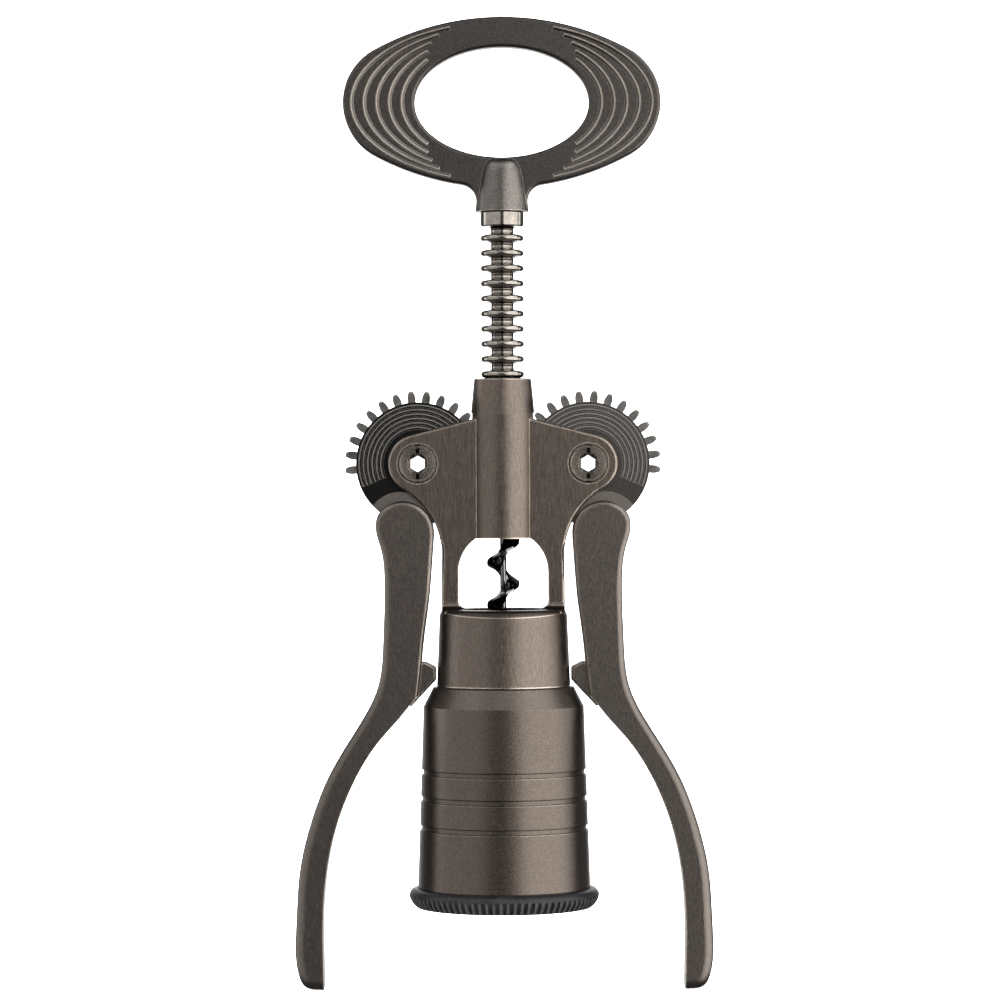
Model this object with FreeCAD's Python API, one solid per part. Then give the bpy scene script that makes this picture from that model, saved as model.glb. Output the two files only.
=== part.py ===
import FreeCAD
import Part

# Twin-lever corkscrew with a telescopic bell, built as separate sub-parts, in millimetres.
#
# +Z runs up along the worm, +X to the right-hand lever, +Y to the back. The origin is the centre
# of the bell's mouth, on the plane of its rubber rim. In the rest pose the levers hang down, the
# rack is raised and the bell is pushed up against the barrel.

import math
import os

V = FreeCAD.Vector

# ---------------------------------------------------------------- driving dimensions
# Gear train: two toothed sectors roll on one ring-toothed rack.
MODULE = 1.375
GEAR_TEETH = 28  # teeth in the full circle
TEETH_BEFORE, TEETH_AFTER = 15, 2  # sector teeth above and below the one space in mesh
PRESSURE_ANGLE = math.radians(14.5)
TOOTH_THICKNESS = 2.24  # on the pitch line, so a little backlash is left
GEAR_TIP_R = 20.8
GEAR_ROOT_R = 17.6
GEAR_HALF_T = 2.5
TOOTH_HALF_T = 2.2
GROOVE_RADII = (16.3, 15.05, 13.8, 12.55, 11.3, 10.05)
GROOVE_W, GROOVE_DEPTH = 0.5, 0.3
GROOVE_START, GROOVE_SWEEP = -23.0, 215.0  # degrees
RACK_TIP_R = 6.2
RACK_ROOT_R = 3.25
RACK_PITCH_R = 5.10
RACK_FLARE = 0.9  # spread of the neck under the collar
RINGS_BELOW, RINGS_ABOVE = 2, 15  # rings below and above the one level with the pivots
RACK_PHASE = -0.40  # height of that ring's middle above the pivots

PITCH = math.pi * MODULE
GEAR_PITCH_R = MODULE * GEAR_TEETH / 2
PIVOT_X = RACK_PITCH_R + GEAR_PITCH_R
PIVOT_Z = 126.6

# Frame casting.
PLATE_HALF_T = 5.25  # half the thickness of wings and posts
PLATE_EDGE_R = 0.8
SLOT_HALF_T = 2.75
SLOT_R = 21.2
TUBE_TOP_Z = 150.9
TUBE_TOP_R = 8.2
TUBE_R = 9.2
TUBE_CONE_Z = 140.5  # foot of the tube's tapered mouth
TUBE_BORE_R = 6.6
WING_TOP_Z = 139.6
LOBE_R = 8.4
WAIST_X, WAIST_Z = 17.55, 100.8  # narrowest place of the outline
WINDOW_HALF_W = 12.85
WINDOW_TOP_Z = 105.2
WINDOW_TOP_HALF_W = 7.8
WINDOW_SIDE_Z = 95.5  # where the window's upper corners become straight sides
WINDOW_BOTTOM_Z = 85.0
WINDOW_CORNER_R = 2.6
POST_FOOT_R = 2.2
BARREL_BOTTOM_Z = 63.1
BARREL_BOTTOM_R = 19.1
BARREL_BORE_R = 13.0
BARREL_RIM_R = 1.8  # rounding of the barrel's open rim
SPIGOT_R = 16.5
SPIGOT_BOTTOM_Z = 30.5

# Bell: sleeve, centring insert, rubber rim, friction ring and circlip.
SLIDE_CLEARANCE = 0.08
SLEEVE_TOP_Z = 62.9
SLEEVE_TOP_R = 20.2
SLEEVE_SHOULDER_Z = 57.3
SLEEVE_SHOULDER_R = 22.95
SLEEVE_FOOT_Z = 5.6
SLEEVE_FOOT_R = 24.65
SLEEVE_GUIDE_BOTTOM_Z = 46.0
SLEEVE_HOLLOW_R = 19.8
BAND_GROOVE_Z = (38.65, 31.1, 22.85)
BAND_GROOVE_W, BAND_GROOVE_DEPTH = 1.6, 0.5
INSERT_TOP_Z = 28.5
INSERT_R = 21.5
NECK_R = 15.75  # bore for the bottle's neck
RIM_SEAT_R = 23.4
RIM_SEAT_Z = 2.0
RIM_BULGE_R, RIM_BULGE_Z = 27.15, 3.4
RIM_FOOT_R = 24.9
RIM_FLUTES = 84
FLUTE_R = 0.5
O_RING_Z, O_RING_W = 48.5, 1.8
CIRCLIP_Z, CIRCLIP_T = 32.4, 1.2
CIRCLIP_R = 18.2

# Handle, collar, rack and worm.
FIT = 0.05  # radial clearance between pieces that are fitted together
HANDLE_Z = 229.8
HANDLE_HALF_T = 3.0
HANDLE_HALF_W, HANDLE_HALF_H = 45.4, 24.4
HANDLE_END_R = 17.2  # radius of the oval's two ends
HANDLE_EDGE_R = 0.9
HOLE_HALF_W, HOLE_HALF_H = 24.85, 15.75
BEADS = 5  # raised lines round each end of the handle
BEAD_HALF_W, BEAD_STEP_W = 43.1, 3.6
BEAD_HALF_H, BEAD_STEP_H = 22.75, 1.12
BEAD_SPAN, BEAD_STEP_SPAN = 70.0, 7.0  # degrees either side of the middle
BEAD_STEEP, BEAD_SHALLOW, BEAD_H = 0.3, 1.5, 0.36  # foot widths outside and inside the crest, height
HUB_BOTTOM_Z, HUB_TOP_Z = 198.6, 213.6
HUB_BOTTOM_R = 7.7
NECK_HALF_W = 7.4
NECK_FILLET_R = 4.6
SET_SCREW_Z, SET_SCREW_R = 204.0, 2.0
COLLAR_BOTTOM_Z = 194.3
COLLAR_R = 6.22
RACK_END_Z, RACK_END_R = 112.0, 4.9
SHAFT_R = 2.4
SHAFT_TOP_Z = 209.5
FLANGE_R, FLANGE_T = 3.6, 1.6
WORM_R = 4.7
WORM_CORE_R = 0.95
WORM_PITCH = 12.1
WORM_RIGHT_Z = 92.3  # a height at which the flight points along +X
WORM_TIP_Z = 32.0
WORM_TAPER = 14.0
WORM_TOP_Z = 106.5

# Lever arms.
ARM_HALF_T = 6.0
ARM_TIP_Z = -23.3
ARM_EDGE_R = 0.8  # rounding at the heel, growing to the grip's end
ARM_GRIP_R = 2.8  # outer edges, at the grip's end
GRIP_CORNER = (51.5, ARM_TIP_Z)
NOSE_HALF_T = 4.2
STOP_X = 19.3  # face of the stop nose, next to the barrel

# Pivot screws: a notched hollow bolt from the front in a sleeve nut from the back.
HEAD_R = 5.5
HEAD_T = 1.3
HEAD_PROUD = 0.1
COUNTERBORE_R = 5.65
NUT_R = 4.0
BOLT_R = 3.0
HEX_ACROSS_FLATS = 4.0
NOTCH_W, NOTCH_DEPTH = 1.3, 0.9
HEAD_LINE_R = 4.75  # fine turned line round the head
WASHER_R = 7.0
WASHER_T = 0.2


# ---------------------------------------------------------------- helpers
def at(x, z):
    """A point of an outline drawn in the XZ plane."""
    return V(x, 0, z)


def line(a, b):
    return Part.LineSegment(at(*a), at(*b)).toShape()


def arc(a, mid, b):
    return Part.Arc(at(*a), at(*mid), at(*b)).toShape()


def spline(points, start, end):
    """A smooth edge through points, leaving along start and arriving along end."""
    curve = Part.BSplineCurve()
    curve.interpolate(Points=[at(*p) for p in points], InitialTangent=at(*start), FinalTangent=at(*end))
    return curve.toShape()


def polygon(points):
    """Straight edges round a closed outline."""
    loop = list(points) + [points[0]]
    return [line(a, b) for a, b in zip(loop, loop[1:])]


def face(edges):
    return Part.Face(Part.Wire(Part.__sortEdges__(edges)))


def slab(edges, half_t):
    """A closed XZ outline thickened to half_t on both sides of the XZ plane."""
    flat = face(edges)
    flat.translate(V(0, -half_t, 0))
    return outward(flat.extrude(V(0, 2 * half_t, 0)))


def lathe(edges):
    """A solid of revolution about Z."""
    return outward(face(edges).revolve(V(0, 0, 0), V(0, 0, 1), 360))


def turned(points):
    """A solid of revolution from the (r, z) corners of its section."""
    return lathe(polygon(points))


def ring(z_mid, height, r_in, r_out):
    low, high = z_mid - height / 2, z_mid + height / 2
    return turned([(r_in, low), (r_out, low), (r_out, high), (r_in, high)])


def rod(radius, z0, z1):
    """A cylinder on the Z axis."""
    return Part.makeCylinder(radius, z1 - z0, V(0, 0, z0), V(0, 0, 1))


def cross_rod(radius, y0, y1, x, z):
    """A cylinder along Y."""
    return Part.makeCylinder(radius, y1 - y0, V(x, y0, z), V(0, 1, 0))


def hexagon_rod(across_flats, y0, y1, x, z):
    """A hexagonal bar along Y with corners at the top and the bottom."""
    corner = across_flats / math.sqrt(3)
    points = [polar(corner, 30 + 60 * i) for i in range(6)]
    bar = face(polygon([(x + p, z + q) for p, q in points]))
    bar.translate(V(0, y0, 0))
    return outward(bar.extrude(V(0, y1 - y0, 0)))


def outward(solid):
    """The solid with its faces turned outwards."""
    if solid.Volume < 0:
        solid.reverse()
    return solid


def one_solid(shape):
    """The only solid of a Boolean result."""
    if len(shape.Solids) != 1:
        raise ValueError(f"expected one solid, found {len(shape.Solids)}")
    return shape.Solids[0]


def joined(first, *others):
    return one_solid(first.multiFuse(list(others)).removeSplitter())


def cut(solid, *tools):
    return one_solid(solid.cut(list(tools)))


def rounded(solid, radius, wanted):
    """Fillets the edges for which wanted(edge) is true."""
    return one_solid(solid.makeFillet(radius, [e for e in solid.Edges if wanted(e)]))


def mirrored(solid):
    """The left-hand copy of a right-hand piece."""
    return outward(solid.mirror(V(0, 0, 0), V(1, 0, 0)))


def in_plane(edge, half_t):
    """True for an edge lying in the plane y = half_t or y = -half_t."""
    box = edge.BoundBox
    return box.YLength < 1e-5 and abs(abs(box.Center.y) - half_t) < 1e-5


def polar(radius, degrees):
    return radius * math.cos(math.radians(degrees)), radius * math.sin(math.radians(degrees))


# ---------------------------------------------------------------- frame
def barrel_r(z):
    """Radius of the barrel's taper, which the posts carry on up to the waist."""
    share = (z - BARREL_BOTTOM_Z) / (WAIST_Z - BARREL_BOTTOM_Z)
    return BARREL_BOTTOM_R + share * (WAIST_X - BARREL_BOTTOM_R)


def wing():
    """Right half of the plate: wing, pivot lobe, concave flank and post, with rounded edges."""
    root = (TUBE_R - 1.5, WING_TOP_Z)
    away = (root[0] - PIVOT_X, root[1] - PIVOT_Z)
    top = math.degrees(math.atan2(away[1], away[0]) - math.acos(LOBE_R / math.hypot(*away)))
    # The flank is an arc that touches the lobe and ends upright at the waist.
    drop, reach = PIVOT_Z - WAIST_Z, PIVOT_X - WAIST_X
    flank_r = (reach**2 + drop**2 - LOBE_R**2) / (2 * (LOBE_R + reach))
    flank_x = WAIST_X + flank_r
    touch = math.degrees(math.atan2(WAIST_Z - PIVOT_Z, flank_x - PIVOT_X))

    def lobe(angle):
        x, z = polar(LOBE_R, angle)
        return PIVOT_X + x, PIVOT_Z + z

    def flank(angle):
        x, z = polar(flank_r, angle)
        return flank_x + x, WAIST_Z + z

    foot = WINDOW_BOTTOM_Z - 3
    outline = [
        line((0, WING_TOP_Z), root),
        line(root, lobe(top)),
        arc(lobe(top), lobe((top + touch) / 2), lobe(touch)),
        arc(flank(touch + 180), flank(touch / 2 + 180), flank(180)),
        line((WAIST_X, WAIST_Z), (WAIST_X, foot)),
        line((WAIST_X, foot), (0, foot)),
        line((0, foot), (0, WING_TOP_Z)),
    ]
    plate = slab(outline, PLATE_HALF_T)

    def outer(edge):
        box = edge.BoundBox
        return in_plane(edge, PLATE_HALF_T) and box.XMax > TUBE_R and box.ZMin > foot - 1 and box.ZLength > 1

    return rounded(plate, PLATE_EDGE_R, outer)


def post_foot(side):
    """Concave foot between the posts' flat face and the barrel's rim; side is +1 behind, -1 in front."""
    r, z = POST_FOOT_R, WINDOW_BOTTOM_Z
    bow = r * (1 - math.sqrt(0.5))
    near = side * (PLATE_HALF_T - 0.5)
    wall, far = side * PLATE_HALF_T, side * (PLATE_HALF_T + r)
    corners = [(wall, z + r), (near, z + r), (near, z - 1), (far, z - 1), (far, z)]
    edges = [Part.makeLine(V(-22, *a), V(-22, *b)) for a, b in zip(corners, corners[1:])]
    edges.append(Part.Arc(V(-22, far, z), V(-22, wall + side * bow, z + bow), V(-22, wall, z + r)).toShape())
    return outward(face(edges).extrude(V(44, 0, 0)))


def taper_limit():
    """What the plate is trimmed to: the barrel's taper up to the waist, fading out above it."""
    low = WINDOW_BOTTOM_Z - 4
    fade = spline(
        [
            (WAIST_X, WAIST_Z),
            (WAIST_X + 0.6, WAIST_Z + 3.5),
            (WAIST_X + 2.2, WAIST_Z + 6.5),
            (40, WAIST_Z + 14),
        ],
        (barrel_r(WAIST_Z) - barrel_r(low), WAIST_Z - low),
        (1, 0),
    )
    edges = [line((0, low), (barrel_r(low), low)), line((barrel_r(low), low), (WAIST_X, WAIST_Z)), fade]
    top = (40, 160)
    edges += [line((40, WAIST_Z + 14), top), line(top, (0, top[1])), line((0, top[1]), (0, low))]
    return lathe(edges)


def window():
    """Cutter for the sight window between the posts."""
    side_h = WINDOW_TOP_Z - WINDOW_SIDE_Z
    inset = WINDOW_HALF_W - WINDOW_TOP_HALF_W
    corner_r = (inset**2 + side_h**2) / (2 * inset)
    half = math.degrees(math.asin(side_h / corner_r) / 2)
    mid_x, mid_z = polar(corner_r, half)
    mid_x += WINDOW_HALF_W - corner_r
    mid_z += WINDOW_SIDE_Z
    low, r = WINDOW_BOTTOM_Z, WINDOW_CORNER_R
    bow = r * (1 - math.sqrt(0.5))
    edges = [line((-WINDOW_TOP_HALF_W, WINDOW_TOP_Z), (WINDOW_TOP_HALF_W, WINDOW_TOP_Z))]
    for side in (1, -1):
        wall = side * WINDOW_HALF_W
        edges += [
            arc((side * WINDOW_TOP_HALF_W, WINDOW_TOP_Z), (side * mid_x, mid_z), (wall, WINDOW_SIDE_Z)),
            line((wall, WINDOW_SIDE_Z), (wall, low + r)),
            arc((wall, low + r), (wall - side * bow, low + bow), (wall - side * r, low)),
        ]
    edges.append(line((WINDOW_HALF_W - r, low), (r - WINDOW_HALF_W, low)))
    return slab(edges, 40)


def frame():
    """The casting: rack tube, two slotted wings, two posts and the barrel with its spigot."""
    half = wing()
    plate = joined(half, mirrored(half), post_foot(1), post_foot(-1)).common(taper_limit())
    tube = turned(
        [
            (0, WINDOW_TOP_Z - 2),
            (TUBE_R, WINDOW_TOP_Z - 2),
            (TUBE_R, TUBE_CONE_Z),
            (TUBE_TOP_R, TUBE_TOP_Z - 0.25),
            (TUBE_TOP_R - 0.25, TUBE_TOP_Z),
            (0, TUBE_TOP_Z),
        ]
    )
    rim = barrel_r(WINDOW_BOTTOM_Z)
    bow = BARREL_RIM_R * (1 - math.sqrt(0.5))
    rim_low = (barrel_r(WINDOW_BOTTOM_Z - BARREL_RIM_R), WINDOW_BOTTOM_Z - BARREL_RIM_R)
    rim_top = (rim - BARREL_RIM_R, WINDOW_BOTTOM_Z)
    barrel = lathe(
        [
            line((0, BARREL_BOTTOM_Z), (BARREL_BOTTOM_R, BARREL_BOTTOM_Z)),
            line((BARREL_BOTTOM_R, BARREL_BOTTOM_Z), rim_low),
            arc(rim_low, (rim - bow, WINDOW_BOTTOM_Z - bow), rim_top),
            line(rim_top, (0, WINDOW_BOTTOM_Z)),
            line((0, WINDOW_BOTTOM_Z), (0, BARREL_BOTTOM_Z)),
        ]
    )
    spigot = rod(SPIGOT_R, SPIGOT_BOTTOM_Z, BARREL_BOTTOM_Z + 1)
    body = joined(plate, tube, barrel, spigot)
    body = cut(body, window())
    tools = [
        rod(TUBE_BORE_R, WINDOW_TOP_Z - 5, TUBE_TOP_Z + 1),
        rod(BARREL_BORE_R, SPIGOT_BOTTOM_Z - 1, WINDOW_BOTTOM_Z + 1),
        ring(O_RING_Z, O_RING_W, SPIGOT_R - 1.5, SPIGOT_R + 1),
        ring(CIRCLIP_Z, CIRCLIP_T, SPIGOT_R - 0.9, SPIGOT_R + 1),
    ]
    seat = PLATE_HALF_T + HEAD_PROUD - HEAD_T
    for x in (PIVOT_X, -PIVOT_X):
        tools += [
            cross_rod(SLOT_R, -SLOT_HALF_T, SLOT_HALF_T, x, PIVOT_Z),
            cross_rod(NUT_R + FIT, -10, 10, x, PIVOT_Z),
            cross_rod(COUNTERBORE_R, -10, -seat, x, PIVOT_Z),
            cross_rod(COUNTERBORE_R, seat, 10, x, PIVOT_Z),
        ]
    for tool in tools:
        body = cut(body, tool)
    return body


# ---------------------------------------------------------------- pivots
def pivot_bolt():
    """Hollow bolt: notched head at the front, hexagon through its whole length."""
    head_back = -(PLATE_HALF_T + HEAD_PROUD - HEAD_T)
    front = head_back - HEAD_T
    head = cross_rod(HEAD_R, front, head_back, PIVOT_X, PIVOT_Z)
    head = rounded(head, 0.3, lambda e: abs(e.BoundBox.YMin - front) < 1e-5 and e.BoundBox.YLength < 1e-5)
    bolt = joined(head, cross_rod(BOLT_R - FIT, head_back - 0.5, -head_back, PIVOT_X, PIVOT_Z))
    lead = Part.makeCone(3.0, 2.0, 0.9, V(PIVOT_X, front - 0.001, PIVOT_Z), V(0, 1, 0))
    bolt = cut(bolt, lead, hexagon_rod(HEX_ACROSS_FLATS, -10, 10, PIVOT_X, PIVOT_Z))
    for low in (PIVOT_Z + 2.0, PIVOT_Z - 4.5):
        notch = Part.makeBox(NOTCH_W, NOTCH_DEPTH, 2.5, V(PIVOT_X - NOTCH_W / 2, front - 0.001, low))
        bolt = cut(bolt, notch)
    turned_line = cross_rod(HEAD_LINE_R + 0.2, front - 0.1, front + 0.15, PIVOT_X, PIVOT_Z)
    return cut(bolt, turned_line.cut(cross_rod(HEAD_LINE_R, front - 1, front + 1, PIVOT_X, PIVOT_Z)))


def pivot_nut():
    """Sleeve nut: head at the back, plain sleeve that the sector turns on."""
    seat = PLATE_HALF_T + HEAD_PROUD - HEAD_T
    back = seat + HEAD_T
    head = cross_rod(HEAD_R, seat, back, PIVOT_X, PIVOT_Z)
    head = rounded(head, 0.3, lambda e: abs(e.BoundBox.YMin - back) < 1e-5 and e.BoundBox.YLength < 1e-5)
    nut = joined(head, cross_rod(NUT_R, FIT - seat, seat + 0.5, PIVOT_X, PIVOT_Z))
    nut = cut(nut, cross_rod(BOLT_R, -10, 10, PIVOT_X, PIVOT_Z))
    slot = Part.makeBox(2 * HEAD_R, NOTCH_DEPTH, NOTCH_W, V(PIVOT_X - HEAD_R, back - NOTCH_DEPTH, PIVOT_Z - NOTCH_W / 2))
    return cut(nut, slot.cut(cross_rod(BOLT_R + 0.6, 0, 10, PIVOT_X, PIVOT_Z)).common(
        cross_rod(HEAD_R - 0.6, 0, 10, PIVOT_X, PIVOT_Z)))


def thrust_washer(side):
    """Thin disc between the sector and one wall of its slot; side is -1 in front and +1 behind."""
    low = side * (GEAR_HALF_T + SLOT_HALF_T) / 2 - WASHER_T / 2
    disc = cross_rod(WASHER_R, low, low + WASHER_T, PIVOT_X, PIVOT_Z)
    return cut(disc, cross_rod(NUT_R + FIT, low - 1, low + 1, PIVOT_X, PIVOT_Z))


# ---------------------------------------------------------------- toothed sector
def involute(angle):
    return math.tan(angle) - angle


def gear_tooth():
    """One tooth pointing along +X, about the gear's own centre."""
    base_r = GEAR_PITCH_R * math.cos(PRESSURE_ANGLE)
    shoulder_r = GEAR_TIP_R - 0.2

    def flank(radius, side):
        spread = TOOTH_THICKNESS / 2 / GEAR_PITCH_R
        if radius > base_r:
            spread += involute(PRESSURE_ANGLE) - involute(math.acos(base_r / radius))
        else:
            spread += involute(PRESSURE_ANGLE)
        return radius * math.cos(spread), side * radius * math.sin(spread)

    steps = [base_r + (shoulder_r - base_r) * i / 4 for i in range(5)]
    edges = []
    for side in (1, -1):
        points = [flank(r, side) for r in steps]
        first = (points[1][0] - points[0][0], points[1][1] - points[0][1])
        last = (points[-1][0] - points[-2][0], points[-1][1] - points[-2][1])
        edges += [line(flank(GEAR_ROOT_R - 1, side), points[0]), spline(points, first, last)]
    edges += [
        arc(flank(shoulder_r, 1), (GEAR_TIP_R, 0), flank(shoulder_r, -1)),
        line(flank(GEAR_ROOT_R - 1, 1), flank(GEAR_ROOT_R - 1, -1)),
    ]
    return slab(edges, TOOTH_HALF_T)


def tongue(grow):
    """The sector's tail inside the lever's fork; grow widens it into its pocket."""
    g = grow
    corners = [(22.4 - g, 114), (22.4 - g, 97 - g), (31.6 + g, 97 - g), (33.8 + g, 112), (33.8 + g, 114)]
    return slab(polygon(corners), GEAR_HALF_T + g)


def gear_sector():
    """Grooved disc with seventeen teeth and a tail that carries the lever."""
    pivot = V(PIVOT_X, 0, PIVOT_Z)
    step = 360.0 / GEAR_TEETH
    space = 180.0 - math.degrees(RACK_PHASE / GEAR_PITCH_R)
    teeth = []
    for i in range(-TEETH_BEFORE, TEETH_AFTER):
        tooth = gear_tooth()
        tooth.rotate(V(0, 0, 0), V(0, -1, 0), space + (i + 0.5) * step)
        tooth.translate(pivot)
        teeth.append(tooth)
    disc = cross_rod(GEAR_ROOT_R, -GEAR_HALF_T, GEAR_HALF_T, PIVOT_X, PIVOT_Z)
    body = joined(disc, tongue(0), *teeth)
    body = cut(body, cross_rod(NUT_R + FIT, -5, 5, PIVOT_X, PIVOT_Z))
    for radius in GROOVE_RADII:
        for side in (1, -1):
            bottom = side * (GEAR_HALF_T - GROOVE_DEPTH)
            rise = side * (GROOVE_DEPTH + 0.1)
            section = Part.makePolygon(
                [
                    V(radius - GROOVE_W / 2, bottom, 0),
                    V(radius + GROOVE_W / 2, bottom, 0),
                    V(radius + GROOVE_W / 2, bottom + rise, 0),
                    V(radius - GROOVE_W / 2, bottom + rise, 0),
                    V(radius - GROOVE_W / 2, bottom, 0),
                ]
            )
            section = Part.Face(section)
            section.rotate(V(0, 0, 0), V(0, -1, 0), GROOVE_START)
            groove = outward(section.revolve(V(0, 0, 0), V(0, -1, 0), GROOVE_SWEEP))
            groove.translate(pivot)
            body = cut(body, groove)
    return body


# ---------------------------------------------------------------- lever arm
def lever_arm():
    """Forked head over the sector's tail, waisted arm with a stop nose, and a curved grip."""
    heel = (24.4, 60.6)  # where the nose runs into the grip's inner edge
    back = [
        heel, (23.5, 68.0), (22.75, 76.0), (21.15, 88.0), (19.95, 103.0),
        (20.3, 110.1), (22.2, 113.1), (25.6, 115.4), (29.1, 116.0), (33.0, 114.7), (35.7, 112.0),
        (36.4, 108.5), (34.9, 102.4), (33.9, 94.0), (34.3, 76.0), (35.8, 63.2), (41.8, 51.3),
        (49.95, 37.6), (55.2, 24.0), (58.35, 10.3), (59.4, -5.0), (59.2, -17.0), (57.6, -21.7), GRIP_CORNER,
    ]
    palm = [GRIP_CORNER, (51.7, -4.0), (50.6, 10.3), (47.6, 24.0), (41.9, 37.6), (35.2, 47.9), (29.2, 54.7), heel]
    arm = slab([spline(back, (-0.3, 2.0), (-1.0, 0.0)), spline(palm, (0.0, 1.0), (-5.0, 5.6))], ARM_HALF_T)

    def faced(edge):
        return in_plane(edge, ARM_HALF_T) and edge.BoundBox.ZLength > 10

    edges = sorted((e for e in arm.Edges if faced(e)), key=lambda e: e.Length)
    arm = one_solid(arm.makeFillet(ARM_EDGE_R, ARM_GRIP_R, edges[2:]))
    nose = slab(
        polygon([(22.2, 70.1), (STOP_X, 68.6), (STOP_X, 64.9), (20.7, 63.4), (26.4, 57.3), (28, 59), (27, 70.1)]),
        NOSE_HALF_T,
    )
    nose = rounded(nose, 0.7, lambda e: in_plane(e, NOSE_HALF_T) and e.BoundBox.XMin < 22.3)
    arm = joined(arm, nose)
    disc_room = cross_rod(GEAR_ROOT_R + 0.3, -GEAR_HALF_T - FIT, GEAR_HALF_T + FIT, PIVOT_X, PIVOT_Z)
    return cut(arm, disc_room, tongue(FIT))


# ---------------------------------------------------------------- handle
def oval(half_w, half_h, end_r):
    """Edges of a four-arc oval round the handle's middle."""
    side = (half_w - end_r, half_h - end_r)
    top_r = (side[0] ** 2 + half_h**2 - end_r**2) / (2 * (half_h - end_r))
    turn = math.degrees(math.atan2(top_r - half_h, side[0]))
    edges = []
    for sx in (1, -1):
        x, z = polar(end_r, turn)
        corner = (sx * (side[0] + x), z)
        middle = (sx * half_w, 0)
        edges.append(((corner[0], corner[1]), middle, (corner[0], -corner[1])))
    joint = (edges[0][0][0], edges[0][0][1])
    edges.append(((-joint[0], joint[1]), (0, half_h), joint))
    edges.append(((-joint[0], -joint[1]), (0, -half_h), (joint[0], -joint[1])))
    return [arc(*[(x, z + HANDLE_Z) for x, z in edge]) for edge in edges]


def bead(index, end):
    """One raised line on both faces, along an elliptical arc: steep outside its crest, shallow inside."""
    half_w = BEAD_HALF_W - index * BEAD_STEP_W
    half_h = BEAD_HALF_H - index * BEAD_STEP_H
    span = BEAD_SPAN - index * BEAD_STEP_SPAN
    points = []
    for i in range(9):
        x, z = polar(1.0, span * (i - 4) / 4)
        points.append(V(end * half_w * x, -HANDLE_HALF_T, HANDLE_Z + half_h * z))
    curve = Part.BSplineCurve()
    curve.interpolate(points)
    path = Part.Wire(curve.toShape())
    start = curve.value(curve.FirstParameter)
    outside = curve.tangent(curve.FirstParameter)[0].cross(V(0, 1, 0)) * -end
    corners = [(BEAD_STEEP, 0.3), (0.05, -BEAD_H), (-0.1, -BEAD_H), (-BEAD_SHALLOW, 0.3)]
    corners.append(corners[0])
    section = Part.makePolygon([start + outside * u + V(0, y, 0) for u, y in corners])
    bar = outward(path.makePipeShell([section], True, False))
    return [bar, outward(bar.mirror(V(0, 0, 0), V(0, 1, 0)))]


def handle():
    """Flat oval ring with raised lines, a short neck and a rounded conical hub."""
    plate = slab(oval(HANDLE_HALF_W, HANDLE_HALF_H, HANDLE_END_R), HANDLE_HALF_T)
    neck_top = HANDLE_Z - HANDLE_HALF_H + 6
    neck_low = HUB_BOTTOM_Z + 0.3
    neck = Part.makeBox(
        2 * NECK_HALF_W, 2 * HANDLE_HALF_T, neck_top - neck_low, V(-NECK_HALF_W, -HANDLE_HALF_T, neck_low)
    )
    plate = joined(plate, neck)

    def armpit(edge):
        box = edge.BoundBox
        return box.YLength > 1 and box.XLength < 1e-5 and box.ZLength < 1e-5 and box.ZMin > HUB_BOTTOM_Z + 2

    plate = rounded(plate, NECK_FILLET_R, lambda e: armpit(e) and abs(abs(e.BoundBox.XMin) - NECK_HALF_W) < 0.1)
    hole = Part.Ellipse(at(0, HANDLE_Z), HOLE_HALF_W, HOLE_HALF_H)
    hole.Axis = V(0, 1, 0)
    hole.XAxis = V(1, 0, 0)
    hole = Part.Face(Part.Wire(hole.toShape()))
    hole.translate(V(0, -10, 0))
    plate = cut(plate, outward(hole.extrude(V(0, 20, 0))))
    plate = rounded(plate, HANDLE_EDGE_R, lambda e: in_plane(e, HANDLE_HALF_T) and e.BoundBox.ZMax > HUB_BOTTOM_Z + 1)
    side = [(HUB_BOTTOM_R, HUB_BOTTOM_Z), (7.2, 203.3), (6.6, 207.5), (5.95, 211.0), (5.1, 212.8), (3.6, HUB_TOP_Z)]
    hub = lathe(
        [
            line((0, HUB_BOTTOM_Z), side[0]),
            spline(side, (-0.6, 4.4), (-1.0, 0.0)),
            line(side[-1], (0, HUB_TOP_Z)),
            line((0, HUB_TOP_Z), (0, HUB_BOTTOM_Z)),
        ]
    )
    for index in range(BEADS):
        for end in (1, -1):
            plate = joined(plate, *bead(index, end))
    return cut(
        joined(plate, hub),
        rod(SHAFT_R + FIT, HUB_BOTTOM_Z - 1, SHAFT_TOP_Z + 0.5),
        cross_rod(SET_SCREW_R + FIT, 0, 10, 0, SET_SCREW_Z),
    )


def set_screw():
    """Grub screw in the back of the hub, with a hexagon socket."""
    back = 5.3
    screw = cross_rod(SET_SCREW_R, SHAFT_R + FIT, back, 0, SET_SCREW_Z)
    return cut(screw, hexagon_rod(2.0, back - 1.6, back + 1, 0, SET_SCREW_Z))


# ---------------------------------------------------------------- rack and worm
def collar():
    """Thrust collar between the handle and the rack."""
    low, high, edge = COLLAR_BOTTOM_Z, HUB_BOTTOM_Z - FIT, 0.35
    return turned(
        [
            (SHAFT_R + FIT, low),
            (COLLAR_R - edge, low),
            (COLLAR_R, low + edge),
            (COLLAR_R, high - edge),
            (COLLAR_R - edge, high),
            (SHAFT_R + FIT, high),
        ]
    )


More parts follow.
